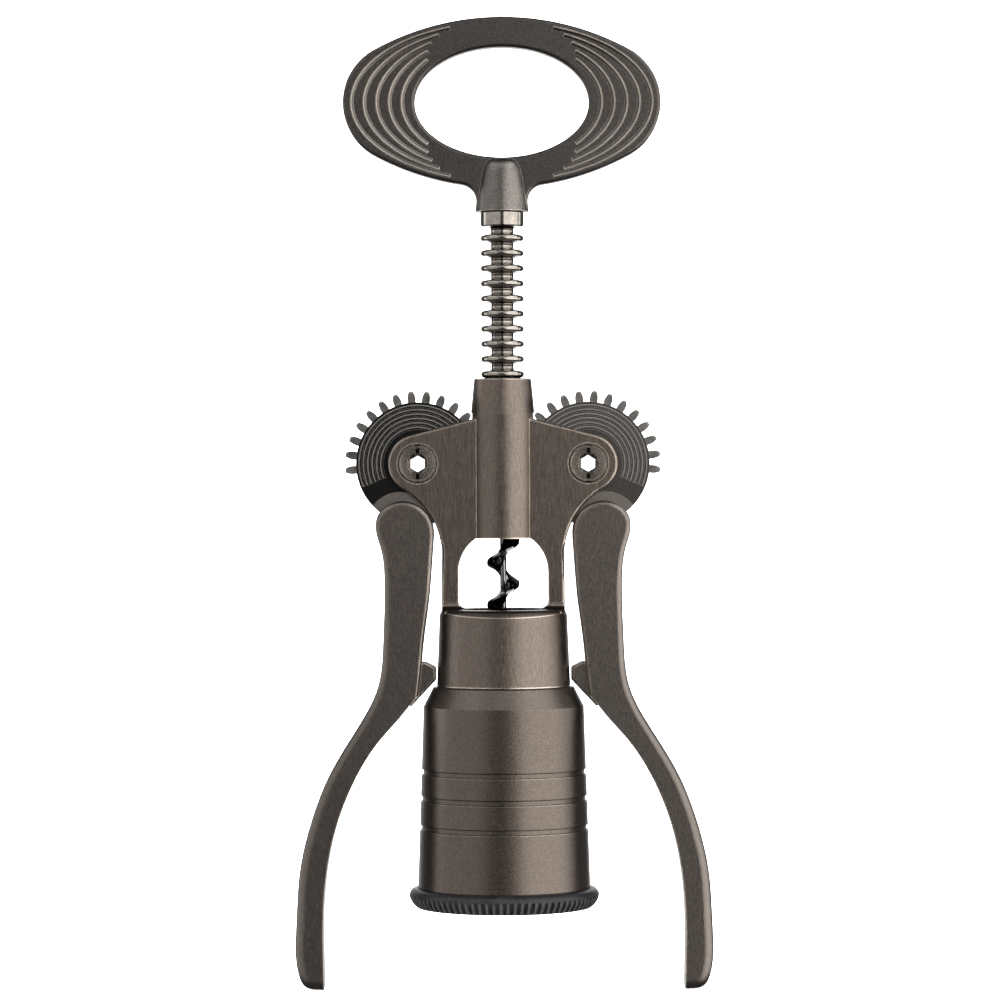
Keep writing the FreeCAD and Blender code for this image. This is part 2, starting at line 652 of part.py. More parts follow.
def rack_spindle():
    """Tube with ring teeth; the rings are cut square to its axis, so they mesh at any turn."""
    slope = math.tan(PRESSURE_ANGLE)
    bore = SHAFT_R + FIT
    root_half = (PITCH - TOOTH_THICKNESS - 0.1) / 2 + (RACK_PITCH_R - RACK_ROOT_R) * slope
    crest_r = RACK_TIP_R - 0.45
    crest_half = (PITCH - TOOTH_THICKNESS - 0.1) / 2 - (crest_r - RACK_PITCH_R) * slope
    foot, shoulder = RACK_END_Z, RACK_END_Z + 2.5
    edges = [
        line((bore, foot), (RACK_END_R, foot)),
        line((RACK_END_R, foot), (RACK_END_R, shoulder)),
        line((RACK_END_R, shoulder), (RACK_ROOT_R, shoulder)),
    ]
    last = (RACK_ROOT_R, shoulder)
    for i in range(-RINGS_BELOW, RINGS_ABOVE + 1):
        z = PIVOT_Z + RACK_PHASE + i * PITCH
        low, high = (RACK_ROOT_R, z - root_half), (RACK_ROOT_R, z + root_half)
        crest_low, crest_high = (crest_r, z - crest_half), (crest_r, z + crest_half)
        edges += [
            line(last, low),
            line(low, crest_low),
            arc(crest_low, (RACK_TIP_R, z), crest_high),
            line(crest_high, high),
        ]
        last = high
    top = COLLAR_BOTTOM_Z - FIT
    neck, rim = (RACK_ROOT_R, top - RACK_FLARE), (RACK_ROOT_R + RACK_FLARE, top)
    edges += [
        line(last, neck),
        arc(neck, (RACK_ROOT_R + 0.3 * RACK_FLARE, top - 0.3 * RACK_FLARE), rim),
        line(rim, (bore, top)),
        line((bore, top), (bore, foot)),
    ]
    return lathe(edges)


def worm():
    """Pointed screw and the plain shaft that carries it up through the rack to the handle."""
    turns_down = math.ceil((WORM_RIGHT_Z - WORM_TIP_Z) / WORM_PITCH)
    low = WORM_RIGHT_Z - turns_down * WORM_PITCH
    path = Part.makeHelix(WORM_PITCH, WORM_TOP_Z - low, WORM_R)
    path.translate(V(0, 0, low))
    section = Part.Wire(
        Part.__sortEdges__(
            [
                arc((0.6, low + 3.8), (1.9, low + 1.9), (WORM_R, low + 0.35)),
                line((WORM_R, low + 0.35), (WORM_R, low - 0.35)),
                arc((WORM_R, low - 0.35), (1.9, low - 1.9), (0.6, low - 3.8)),
                line((0.6, low - 3.8), (0.6, low + 3.8)),
            ]
        )
    )
    flight = outward(Part.Wire(path).makePipeShell([section], True, True))
    core = rod(WORM_CORE_R, low - 4, WORM_TOP_Z + 2)
    screw = joined(flight, core)
    taper = turned(
        [
            (0, WORM_TIP_Z),
            (0.25, WORM_TIP_Z),
            (WORM_R * 0.62, WORM_TIP_Z + WORM_TAPER * 0.4),
            (WORM_R + 0.2, WORM_TIP_Z + WORM_TAPER),
            (WORM_R + 0.2, WORM_TOP_Z + 1.5),
            (0, WORM_TOP_Z + 1.5),
        ]
    )
    screw = one_solid(screw.common(taper))
    flange_top = RACK_END_Z - FIT
    shaft = turned(
        [
            (0, WORM_TOP_Z - 1.5),
            (WORM_CORE_R, WORM_TOP_Z - 1.5),
            (FLANGE_R, flange_top - FLANGE_T),
            (FLANGE_R, flange_top),
            (SHAFT_R, flange_top),
            (SHAFT_R, SHAFT_TOP_Z),
            (0, SHAFT_TOP_Z),
        ]
    )
    return joined(screw, shaft)


# ---------------------------------------------------------------- bell
def bell_sleeve():
    """Tapered sleeve that slides on the spigot; its foot is seated in the rubber rim."""
    guide = SPIGOT_R + SLIDE_CLEARANCE
    seat = INSERT_R + FIT
    spread = (SLEEVE_FOOT_R - SLEEVE_SHOULDER_R) / (SLEEVE_SHOULDER_Z - SLEEVE_FOOT_Z)

    def outside(z):
        return SLEEVE_SHOULDER_R + (SLEEVE_SHOULDER_Z - z) * spread

    points = [
        (guide, SLEEVE_GUIDE_BOTTOM_Z),
        (guide, SLEEVE_TOP_Z),
        (SLEEVE_TOP_R - 0.3, SLEEVE_TOP_Z),
        (SLEEVE_TOP_R, SLEEVE_TOP_Z - 0.3),
        (SLEEVE_SHOULDER_R, SLEEVE_SHOULDER_Z),
    ]
    for z in BAND_GROOVE_Z:
        high, low = z + BAND_GROOVE_W / 2, z - BAND_GROOVE_W / 2
        points += [
            (outside(high), high),
            (outside(high) - BAND_GROOVE_DEPTH, high),
            (outside(low) - BAND_GROOVE_DEPTH, low),
            (outside(low), low),
        ]
    points += [
        (SLEEVE_FOOT_R, SLEEVE_FOOT_Z),
        (RIM_SEAT_R, SLEEVE_FOOT_Z),
        (RIM_SEAT_R, RIM_SEAT_Z + FIT),
        (seat, RIM_SEAT_Z + FIT),
        (seat, INSERT_TOP_Z + FIT),
        (SLEEVE_HOLLOW_R, INSERT_TOP_Z + FIT),
        (SLEEVE_HOLLOW_R, SLEEVE_GUIDE_BOTTOM_Z),
    ]
    return turned(points)


def bell_insert():
    """Centring bush for the bottle's neck, coned at its top."""
    low, high = RIM_SEAT_Z + FIT, INSERT_TOP_Z
    return turned([(NECK_R, low), (INSERT_R, low), (INSERT_R, high), (NECK_R + 2.5, high), (NECK_R, high - 2.5)])


def bell_rim():
    """Rubber rim: smooth bulging lip above, fluted flank below, lip across the insert's end."""
    top = (SLEEVE_FOOT_R + 0.4, SLEEVE_FOOT_Z - FIT)
    inner = RIM_SEAT_R + FIT
    shoulder = (RIM_BULGE_R - 0.55, RIM_BULGE_Z + 1.45)
    rim = lathe(
        [
            line((NECK_R, 0), (RIM_FOOT_R, 0)),
            arc((RIM_FOOT_R, 0), (RIM_BULGE_R - 0.75, 1.5), (RIM_BULGE_R, RIM_BULGE_Z)),
            arc((RIM_BULGE_R, RIM_BULGE_Z), shoulder, top),
            line(top, (inner, top[1])),
            line((inner, top[1]), (inner, RIM_SEAT_Z)),
            line((inner, RIM_SEAT_Z), (NECK_R, RIM_SEAT_Z)),
            line((NECK_R, RIM_SEAT_Z), (NECK_R, 0)),
        ]
    )
    foot, brow = V(RIM_FOOT_R + 0.15, 0, -0.4), V(RIM_BULGE_R + 0.35, 0, RIM_BULGE_Z - 0.1)
    flute = Part.makeCylinder(FLUTE_R, (brow - foot).Length, foot, brow - foot)
    flutes = []
    for i in range(RIM_FLUTES):
        copy = flute.copy()
        copy.rotate(V(0, 0, 0), V(0, 0, 1), 360.0 * i / RIM_FLUTES)
        flutes.append(copy)
    return cut(rim, *flutes)


def bell_o_ring():
    """Friction ring in the spigot's groove; it holds the bell where it is pushed."""
    return ring(O_RING_Z, O_RING_W - 2 * FIT, SPIGOT_R - 1.45, SPIGOT_R + SLIDE_CLEARANCE / 2)


def bell_circlip():
    """Split ring at the spigot's end that stops the bell from sliding off."""
    clip = ring(CIRCLIP_Z, CIRCLIP_T - 2 * FIT, SPIGOT_R - 0.85, CIRCLIP_R)
    return cut(clip, Part.makeBox(5, 3, 5, V(14, -1.5, CIRCLIP_Z - 2.5)))


# ---------------------------------------------------------------- write the sub-parts
def write(name, shape):
    print(f"{name:24s} solids {len(shape.Solids)} valid {shape.isValid()} volume {shape.Volume:9.1f}")
    shape.exportStep(f"parts/{name}.step")


def main():
    os.makedirs("parts", exist_ok=True)
    for name, build in (
        ("frame", frame),
        ("handle", handle),
        ("handle_set_screw", set_screw),
        ("thrust_collar", collar),
        ("rack_spindle", rack_spindle),
        ("worm", worm),
        ("bell_sleeve", bell_sleeve),
        ("bell_insert", bell_insert),
        ("bell_rubber_rim", bell_rim),
        ("bell_friction_ring", bell_o_ring),
        ("bell_circlip", bell_circlip),
    ):
        write(name, build())
    for name, solid in (
        ("pivot_bolt", pivot_bolt()),
        ("pivot_nut", pivot_nut()),
        ("thrust_washer_front", thrust_washer(-1)),
        ("thrust_washer_back", thrust_washer(1)),
        ("gear_sector", gear_sector()),
        ("lever_arm", lever_arm()),
    ):
        write(f"{name}_right", solid)
        write(f"{name}_left", mirrored(solid))


main()
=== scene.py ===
import math

import bpy
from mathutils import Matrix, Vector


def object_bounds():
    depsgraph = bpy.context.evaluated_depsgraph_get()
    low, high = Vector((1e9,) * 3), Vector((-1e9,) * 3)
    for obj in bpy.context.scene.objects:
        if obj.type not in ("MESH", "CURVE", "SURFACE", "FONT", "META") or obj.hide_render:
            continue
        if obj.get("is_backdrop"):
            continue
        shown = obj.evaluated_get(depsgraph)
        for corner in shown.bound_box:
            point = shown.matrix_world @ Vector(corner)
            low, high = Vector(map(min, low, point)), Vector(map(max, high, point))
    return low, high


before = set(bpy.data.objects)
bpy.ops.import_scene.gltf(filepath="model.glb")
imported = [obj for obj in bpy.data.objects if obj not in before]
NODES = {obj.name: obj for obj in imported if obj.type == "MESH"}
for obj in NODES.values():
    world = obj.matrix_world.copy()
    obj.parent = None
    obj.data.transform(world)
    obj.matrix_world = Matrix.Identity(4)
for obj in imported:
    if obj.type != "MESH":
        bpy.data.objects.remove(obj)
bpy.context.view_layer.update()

# Lever corkscrew in a white studio. Every visible piece is a node of the frame; this file gives
# each one its material, and adds the camera, the lights and the floor.

# Lengths and heights are in millimetres unless a comment says otherwise.
PIVOT_X, PIVOT_Z = 0.02435, 0.1266  # the lever pivots, in metres
ARM_HEAD = (5.0, -17.7)  # centre of an arm's round head from its pivot
SEAT_SHADOW_R, SEAT_HIGHLIGHT_R = 5.68, 5.92  # rings round the screw heads: a painted shadow in the gap round each head, and a painted highlight just outside it
HEAD_LINE_R, HEAD_RIM_R = 4.85, 5.36  # dark turned line of a screw head, and the radius past which its edge is painted with the shadow of the gap round it
LIP_LOW, LIP_HIGH = 85.0, 87.6  # bounds of the painted dark reflection on the barrel's lip
LIP_SAG = 0.11  # fall of the lip for each millimetre to the front or back
HUB_HALF_WIDTH, HUB_TOP_Z = 8.5, 214.5  # bounds of the handle's hub
RING_Z, RING_PITCH = 126.2, 4.3197  # height of one of the rack's rings, and their spacing
VALLEY_PHASE = 0.45  # middle of a valley as a share of that spacing
BAND_GROOVES = (38.65, 31.1, 22.85)  # heights of the sleeve's three grooves
GROOVE_EDGES = (0.72, -0.66)  # a groove's edges from its middle
RIM_FLUTES = 84  # round the rubber rim's foot
LAND_R, LAND_PITCH = 10.05, 1.25  # first groove of a sector's disc, and the grooves' spacing
SECTOR_TONES = {  # polished and rubbed tones of a sector's disc, right (1) and left (-1); the right-hand pair is painted paler, painted light on one of two like discs
    1: ((0.075, 0.070, 0.066), (0.115, 0.108, 0.102)),
    -1: ((0.012, 0.012, 0.013), (0.032, 0.031, 0.030)),
}
LIGHT_AIM_Z = 0.12  # height the lights face, in metres
WARM, PALE = (1.0, 0.96, 0.92), (1.0, 0.97, 0.95)  # tints of the lights


# ---------------------------------------------------------------- shader graphs
class Graph:
    """Builds one material's nodes with short calls."""

    def __init__(self, name):
        self.material = bpy.data.materials.new(name)
        self.material.use_nodes = True
        self.tree = self.material.node_tree
        self.tree.nodes.clear()
        self.output = self.tree.nodes.new("ShaderNodeOutputMaterial")

    def node(self, kind, **settings):
        made = self.tree.nodes.new(kind)
        for key, value in settings.items():
            setattr(made, key, value)
        return made

    def feed(self, socket, value):
        if isinstance(value, bpy.types.NodeSocket):
            self.tree.links.new(value, socket)
        else:
            socket.default_value = value

    def math(self, operation, a, b=0.0, c=0.0, clamp=False):
        made = self.node("ShaderNodeMath", operation=operation, use_clamp=clamp)
        for socket, value in zip(made.inputs, (a, b, c)):
            self.feed(socket, value)
        return made.outputs[0]

    def ramp(self, value, low, high, to_low=0.0, to_high=1.0):
        made = self.node("ShaderNodeMapRange")
        limits = {"Value": value, "From Min": low, "From Max": high, "To Min": to_low, "To Max": to_high}
        for key, number in limits.items():
            self.feed(made.inputs[key], number)
        return made.outputs[0]

    def mix(self, share, a, b):
        made = self.node("ShaderNodeMix", data_type="RGBA")
        self.feed(made.inputs[0], share)
        self.feed(made.inputs[6], colour(a))
        self.feed(made.inputs[7], colour(b))
        return made.outputs[2]

    def place(self):
        """The point in the piece's rest place, in millimetres, so that a texture moves with its piece."""
        made = self.node("ShaderNodeVectorMath", operation="SCALE")
        self.feed(made.inputs[0], self.node("ShaderNodeTexCoord").outputs["Object"])
        made.inputs["Scale"].default_value = 1000.0
        return made.outputs[0]

    def stretch(self, point, scale):
        made = self.node("ShaderNodeMapping")
        self.feed(made.inputs["Vector"], point)
        made.inputs["Scale"].default_value = scale
        return made.outputs[0]

    def split(self, point):
        """The x, y and z of a point."""
        made = self.node("ShaderNodeSeparateXYZ")
        self.feed(made.inputs[0], point)
        return made.outputs

    def noise(self, point, scale, detail=2.0, roughness=0.5):
        made = self.node("ShaderNodeTexNoise")
        self.feed(made.inputs["Vector"], point)
        made.inputs["Scale"].default_value = scale
        made.inputs["Detail"].default_value = detail
        made.inputs["Roughness"].default_value = roughness
        return made.outputs["Fac"]

    def softened(self, radius_mm):
        """The normal averaged over a small radius, and the true one."""
        bevel = self.node("ShaderNodeBevel", samples=3)
        bevel.inputs["Radius"].default_value = radius_mm / 1000
        return bevel.outputs[0], self.node("ShaderNodeNewGeometry").outputs["Normal"]

    def edges(self, radius_mm, low=0.02, high=0.25):
        """1 on sharp or tightly rounded edges, 0 on open faces."""
        dot = self.node("ShaderNodeVectorMath", operation="DOT_PRODUCT")
        for socket, normal in zip(dot.inputs, self.softened(radius_mm)):
            self.feed(socket, normal)
        away = self.math("SUBTRACT", 1.0, dot.outputs["Value"])
        return self.ramp(away, low, high)

    def lean(self, radius_mm):
        """Above 0 on edges that turn upwards, below 0 on those that turn downwards."""
        away = self.node("ShaderNodeVectorMath", operation="SUBTRACT")
        for socket, normal in zip(away.inputs, self.softened(radius_mm)):
            self.feed(socket, normal)
        return self.split(away.outputs[0])[2]

    def bump(self, height, strength, distance_mm):
        made = self.node("ShaderNodeBump")
        self.feed(made.inputs["Height"], height)
        made.inputs["Strength"].default_value = strength
        made.inputs["Distance"].default_value = distance_mm / 1000
        return made.outputs[0]

    def finish(self, **sockets):
        """Closes the graph with a Principled shader and returns the material."""
        shader = self.node("ShaderNodeBsdfPrincipled")
        for key, value in sockets.items():
            self.feed(shader.inputs[key.replace("_", " ")], colour(value) if key == "Base_Color" else value)
        self.tree.links.new(shader.outputs[0], self.output.inputs["Surface"])
        return self.material


def colour(value):
    """Three numbers as a colour with alpha; anything else is left alone."""
    return (*value, 1.0) if isinstance(value, tuple) and len(value) == 3 else value


def brushed_bronze(
    name, grain=(1.6, 1.6, 0.15), light=(0.174, 0.148, 0.128), dark=(0.094, 0.080, 0.070), casting=False
):
    """Satin gunmetal-bronze plating with a straight vertical grain, its edges brightened partly as rubbed
    wear and partly as painted highlight.

    casting adds what only the frame has: painted shadow and highlight rings round its screw seats, and a
    painted dark reflection with a painted highlight line on the lip of its barrel.
    """
    g = Graph(name)
    point = g.place()
    fine = g.noise(g.stretch(point, grain), 2.2, detail=6.0, roughness=0.65)
    cloud = g.noise(point, 0.35, detail=3.0)
    specks = g.noise(point, 1.7, detail=3.0, roughness=0.7)
    tone = g.math("ADD", g.math("MULTIPLY", fine, 0.6), g.math("MULTIPLY", specks, 0.4))
    body = g.mix(g.ramp(tone, 0.36, 0.64), dark, light)
    # edges brightened: partly rubbed wear, partly painted highlight
    wear_and_highlight = g.math("MULTIPLY", g.edges(0.62, 0.006, 0.070), g.ramp(cloud, 0.3, 0.6, 0.7, 1.0))
    if casting:
        body, wear_and_highlight = seats_and_lip(g, body, wear_and_highlight)
    rough = g.ramp(fine, 0.3, 0.7, 0.27, 0.37)
    return g.finish(
        Base_Color=g.mix(wear_and_highlight, body, (0.92, 0.82, 0.70)),
        Metallic=1.0,
        Roughness=g.math("SUBTRACT", rough, g.math("MULTIPLY", wear_and_highlight, 0.10)),
        Normal=g.bump(g.math("ADD", fine, g.math("MULTIPLY", specks, 0.5)), 0.7, 0.07),
    )


def seats_and_lip(g, body, wear_and_highlight):
    """Painted shadow and a painted highlight ring round the screw heads, and on the barrel's lip a painted
    dark reflection with a painted highlight line along its lower edge.
    """
    # a painted shadow ring in the gap round each screw head, and a painted highlight ring just outside it
    for side in (1, -1):
        radius, _ = about_pivot(g, side)
        body = g.mix(g.math("COMPARE", radius, SEAT_SHADOW_R, 0.12), body, (0.012, 0.011, 0.010))
        wear_and_highlight = g.math("MAXIMUM", wear_and_highlight, g.math("MULTIPLY", g.math("COMPARE", radius, SEAT_HIGHLIGHT_R, 0.08), 0.25))
    # the barrel's lip: a painted dark reflection band that falls to the front and back, a painted highlight
    # line along its lower edge, and no edge brightening on the band
    _, y, z = g.split(g.place())
    sag = g.math("MULTIPLY", g.math("ABSOLUTE", y), LIP_SAG)
    level = g.math("ADD", z, sag)
    outside = g.math("GREATER_THAN", sag, 0.62)
    band = g.math("MULTIPLY", g.ramp(level, LIP_LOW, LIP_LOW + 0.5), g.ramp(level, LIP_HIGH, LIP_HIGH - 0.6))
    lip = g.math("MULTIPLY", band, outside)
    line = g.math("MULTIPLY", g.math("COMPARE", level, LIP_LOW - 0.1, 0.14), outside)
    body = g.mix(g.math("MULTIPLY", lip, 0.75), body, (0.020, 0.017, 0.015))
    return body, g.math("MAXIMUM", g.math("SUBTRACT", wear_and_highlight, lip, clamp=True), g.math("MULTIPLY", line, 0.35))


def blasted_bronze(name, grit, light=(0.132, 0.112, 0.098), dark=(0.082, 0.070, 0.061), lined=False):
    """The same plating over a fine blasted surface.

    lined is the sleeve's, with painted shade on edges that turn down and in lines along its grooves' edges,
    and painted highlight on edges that turn up; otherwise it has the handle's hub and painted highlights on
    its crests.
    """
    g = Graph(name)
    point = g.place()
    grains = g.noise(g.stretch(point, grit), 1.0, detail=3.0, roughness=0.7)
    body = g.mix(g.ramp(grains, 0.36, 0.64), dark, light)
    if lined:
        # painted shade on edges that turn down and in dark lines along each groove's edges; painted highlight
        # on edges that turn up
        lean = g.lean(0.22)
        body = g.mix(g.ramp(lean, -0.03, -0.16), body, (0.006, 0.005, 0.005))
        z = g.split(point)[2]
        for height in BAND_GROOVES:
            for edge in GROOVE_EDGES:
                groove_shade = g.math("COMPARE", z, height + edge, 0.13)
                body = g.mix(g.math("MULTIPLY", groove_shade, 0.85), body, (0.010, 0.009, 0.008))
        wear_and_highlight = g.math("MULTIPLY", g.ramp(lean, 0.12, 0.40), 0.40)
    else:
        cloud = g.noise(point, 0.16, detail=4.0, roughness=0.6)
        # edges brightened, partly rubbed wear and partly painted highlight
        wear_and_highlight = g.math("MULTIPLY", g.edges(0.3, 0.02, 0.18), g.ramp(cloud, 0.35, 0.6, 0.6, 1.0))
        hub, crest_highlights = hub_and_crests(g)
        rubbed = g.mix(g.ramp(grains, 0.36, 0.64), (0.110, 0.102, 0.095), (0.185, 0.172, 0.160))
        body = g.mix(hub, body, rubbed)
        wear_and_highlight = g.math("MAXIMUM", wear_and_highlight, crest_highlights)
    return g.finish(
        Base_Color=g.mix(wear_and_highlight, body, (0.85, 0.78, 0.70)),
        Metallic=1.0,
        Roughness=g.ramp(grains, 0.3, 0.7, 0.27, 0.36),
        Normal=g.bump(grains, 0.6, 0.07),
    )


def hub_and_crests(g):
    """Two shares: the handle's hub, rubbed brighter than its ring, and a painted highlight along the crests
    of its raised lines.
    """
    x, y, z = g.split(g.place())
    depth = g.math("ABSOLUTE", y)
    near = g.math("MULTIPLY", g.math("COMPARE", x, 0.0, HUB_HALF_WIDTH), g.math("LESS_THAN", z, HUB_TOP_Z))
    hub = g.math("MULTIPLY", near, g.ramp(depth, 3.0, 3.15))
    # painted highlight along the crests of the raised lines
    crest_highlights = g.math("MULTIPLY", g.math("SUBTRACT", 1.0, near), g.ramp(depth, 3.27, 3.36, 0.0, 0.42))
    return hub, crest_highlights


def dark_nickel(name, valleys=False):
    """Polished dark nickel with faint turning marks.

    valleys adds painted shade in the corners between the rack's rings.
    """
    g = Graph(name)
    point = g.place()
    turned = g.noise(g.stretch(point, (0.02, 0.02, 6.0)), 1.0, detail=3.0)
    haze = g.noise(point, 0.6, detail=4.0)
    # edges brightened, partly wear and partly painted highlight
    wear_and_highlight = g.edges(0.2, 0.04, 0.3)
    body = g.mix(g.ramp(haze, 0.35, 0.65), (0.24, 0.225, 0.205), (0.34, 0.32, 0.29))
    if valleys:
        x, y, z = g.split(point)
        radius = g.math("SQRT", g.math("ADD", g.math("MULTIPLY", x, x), g.math("MULTIPLY", y, y)))
        phase = g.math("FRACT", g.math("DIVIDE", g.math("SUBTRACT", z, RING_Z), RING_PITCH))
        # painted shade in the valleys between the rings, deepest near the core
        corner = g.ramp(g.math("ABSOLUTE", g.math("SUBTRACT", phase, VALLEY_PHASE)), 0.02, 0.09)
        corner = g.math("MULTIPLY", corner, g.ramp(radius, 5.0, 3.6))
        body = g.mix(g.math("MULTIPLY", corner, 0.93), body, (0.022, 0.018, 0.016))
    return g.finish(
        Base_Color=g.mix(wear_and_highlight, body, (0.70, 0.66, 0.60)),
        Metallic=1.0,
        Roughness=g.ramp(g.math("ADD", turned, haze), 0.7, 1.3, 0.07, 0.16),
        Normal=g.bump(turned, 0.10, 0.02),
    )


def about_pivot(g, side):
    """Distance from a pivot's axis, and the point seen from it, for side +1 (right) or -1 (left)."""
    shifted = g.node("ShaderNodeVectorMath", operation="ADD")
    g.feed(shifted.inputs[0], g.place())
    shifted.inputs[1].default_value = (-side * PIVOT_X * 1000, 0.0, -PIVOT_Z * 1000)
    flat = g.node("ShaderNodeVectorMath", operation="MULTIPLY")
    g.feed(flat.inputs[0], shifted.outputs[0])
    flat.inputs[1].default_value = (1.0, 0.0, 1.0)
    length = g.node("ShaderNodeVectorMath", operation="LENGTH")
    g.feed(length.inputs[0], flat.outputs[0])
    return length.outputs["Value"], flat.outputs[0]


def turned_nickel(name, side):
    """Dark bronze-nickel screw heads, faced on a lathe, with grime spots towards the middle, dark notches and
    a dark turned line, a painted shadow round the rim, and edges brightened partly by wear and partly as
    painted highlight.
    """
    g = Graph(name)
    radius, flat = about_pivot(g, side)
    x = g.split(flat)[0]
    notch = g.math("MULTIPLY", g.math("COMPARE", x, 0.0, 0.72), g.math("COMPARE", radius, 4.1, 1.2))
    rings = g.math("SINE", g.math("MULTIPLY", radius, 24.0))
    spots = g.noise(g.place(), 3.0, detail=4.0, roughness=0.6)
    grime = g.math("MULTIPLY", g.ramp(spots, 0.47, 0.57), g.ramp(radius, 4.7, 3.0, 0.7, 1.0))
    # past HEAD_RIM_R the head is painted with the shadow of the gap round it
    rim = g.math("GREATER_THAN", radius, HEAD_RIM_R)
    line = g.math("MAXIMUM", g.math("COMPARE", radius, HEAD_LINE_R, 0.11), rim)
    body = g.mix(grime, (0.175, 0.158, 0.139), (0.022, 0.020, 0.018))
    body = g.mix(g.math("MAXIMUM", line, notch), body, (0.010, 0.009, 0.008))
    return g.finish(
        # edges brightened, partly wear and partly painted highlight
        Base_Color=g.mix(g.edges(0.2, 0.05, 0.3), body, (0.60, 0.56, 0.49)),
        Metallic=1.0,
        Roughness=g.ramp(spots, 0.3, 0.7, 0.24, 0.42),
        Normal=g.bump(g.math("ADD", g.math("MULTIPLY", rings, 0.5), spots), 0.4, 0.05),
    )


def black_chrome(name, side):
    """Dark chromed sector: circular polish on the disc, a painted highlight on the lands between grooves, a
    painted reflection of the arm's head, and paler teeth whose tips and edges are brightened partly by wear
    and partly as painted highlight.

    The right-hand disc is painted paler than the black left-hand one, painted light on one of two like
    pieces.
    """
    g = Graph(name)
    polish, rubbed = SECTOR_TONES[side]
    # lip is the painted highlight colour of the lands; shoulder is a painted reflection of the arm's head in
    # the polished disc
    lip, head_reflection = (0.38, 0.37, 0.355), (0.25, 0.230, 0.212)
    radius, flat = about_pivot(g, side)
    x, _, z = g.split(flat)
    angle = g.math("ARCTAN2", z, g.math("MULTIPLY", x, float(side)))
    above = g.math("GREATER_THAN", angle, math.radians(-23))
    grooved = g.math("MULTIPLY", above, g.math("LESS_THAN", radius, 17.0))
    phase = g.math("FRACT", g.math("DIVIDE", g.math("SUBTRACT", radius, LAND_R), LAND_PITCH))
    # painted highlight on the lands between the grooves
    land_highlights = g.math("MULTIPLY", g.math("COMPARE", phase, 0.36, 0.11), grooved)
    land_highlights = g.math("MULTIPLY", land_highlights, g.math("GREATER_THAN", radius, 9.8))
    streak = g.noise(g.stretch(flat, (0.25, 0.25, 0.25)), 1.0, detail=5.0, roughness=0.7)
    rings = g.noise(_radial(g, radius), 1.0, detail=3.0)
    teeth = g.ramp(radius, 17.55, 17.7)
    tips = g.math("MULTIPLY", g.ramp(radius, 19.9, 20.7), g.ramp(streak, 0.3, 0.6, 0.4, 0.9))
    disc = g.mix(land_highlights, g.mix(g.ramp(rings, 0.35, 0.65), polish, rubbed), lip)
    # painted reflection of the arm's head on the disc round it
    beside = g.node("ShaderNodeVectorMath", operation="DISTANCE")
    g.feed(beside.inputs[0], flat)
    beside.inputs[1].default_value = (side * ARM_HEAD[0], 0.0, ARM_HEAD[1])
    disc = g.mix(g.ramp(beside.outputs["Value"], 9.8, 9.6), disc, head_reflection)
    tooth = g.mix(g.ramp(streak, 0.30, 0.62), (0.11, 0.109, 0.106), (0.27, 0.265, 0.26))
    # tips and edges brightened, partly wear and partly painted highlight
    edge_wear_and_highlight = g.math("MAXIMUM", g.edges(0.16, 0.05, 0.3), tips, clamp=True)
    return g.finish(
        Base_Color=g.mix(edge_wear_and_highlight, g.mix(teeth, disc, tooth), (0.62, 0.61, 0.58)),
        Metallic=1.0,
        Roughness=g.ramp(rings, 0.3, 0.7, 0.24, 0.40),
        Normal=g.bump(rings, 0.2, 0.03),
    )


def _radial(g, radius):
    """A texture point that changes only with the radius."""
    made = g.node("ShaderNodeCombineXYZ")
    g.feed(made.inputs[0], g.math("MULTIPLY", radius, 5.0))
    return made.outputs[0]


def black_gloss(name):
    """Mirror-black plating of the worm."""
    g = Graph(name)
    drift = g.noise(g.place(), 0.9, detail=4.0)
    # edges brightened, partly wear and partly painted highlight
    wear_and_highlight = g.math("MULTIPLY", g.edges(0.2, 0.1, 0.4), 0.6)
    return g.finish(
        Base_Color=g.mix(wear_and_highlight, g.mix(drift, (0.13, 0.13, 0.132), (0.19, 0.19, 0.19)), (0.55, 0.55, 0.54)),
        Metallic=1.0,
        Roughness=g.ramp(drift, 0.3, 0.7, 0.03, 0.08),
        Normal=g.bump(drift, 0.1, 0.05),
    )


def blackened_steel(name):
    """Mottled black oxide of the grub screw and the circlip."""
    g = Graph(name)
    mottle = g.noise(g.place(), 1.5, detail=5.0, roughness=0.6)
    body = g.mix(mottle, (0.05, 0.05, 0.052), (0.12, 0.115, 0.11))
    return g.finish(
        # edges brightened, partly wear and partly painted highlight
        Base_Color=g.mix(g.edges(0.3), body, (0.4, 0.39, 0.37)),
        Metallic=1.0,
        Roughness=g.ramp(mottle, 0.3, 0.7, 0.32, 0.5),
        Normal=g.bump(mottle, 0.2, 0.03),
    )


def rubber(name):
    """Black rubber with a fine moulded skin, with upright flutes round its foot."""
    g = Graph(name)
    point = g.place()
    skin = g.noise(point, 4.5, detail=3.0, roughness=0.6)
    dust = g.noise(point, 0.25, detail=5.0)
    x, y, z = g.split(point)
    flutes = g.math("COSINE", g.math("MULTIPLY", g.math("ARCTAN2", y, x), float(RIM_FLUTES)))
    flutes = g.math("MULTIPLY", flutes, g.ramp(z, 3.9, 2.9))
    body = g.mix(g.ramp(dust, 0.35, 0.65), (0.003, 0.003, 0.004), (0.007, 0.007, 0.008))
    # the flutes' crests are painted paler, a painted highlight
    body = g.mix(g.ramp(flutes, -0.2, -0.9), body, (0.022, 0.022, 0.023))
    skin_height = g.math("SUBTRACT", g.math("MULTIPLY", skin, 0.25), g.math("MULTIPLY", flutes, 0.5))
    return g.finish(
        Base_Color=body,
        Roughness=g.math("ADD", g.ramp(dust, 0.3, 0.7, 0.32, 0.44), g.ramp(flutes, 0.0, 0.8, 0.0, 0.35)),
        Normal=g.bump(skin_height, 0.8, 0.30),
        Specular_IOR_Level=0.30,
    )


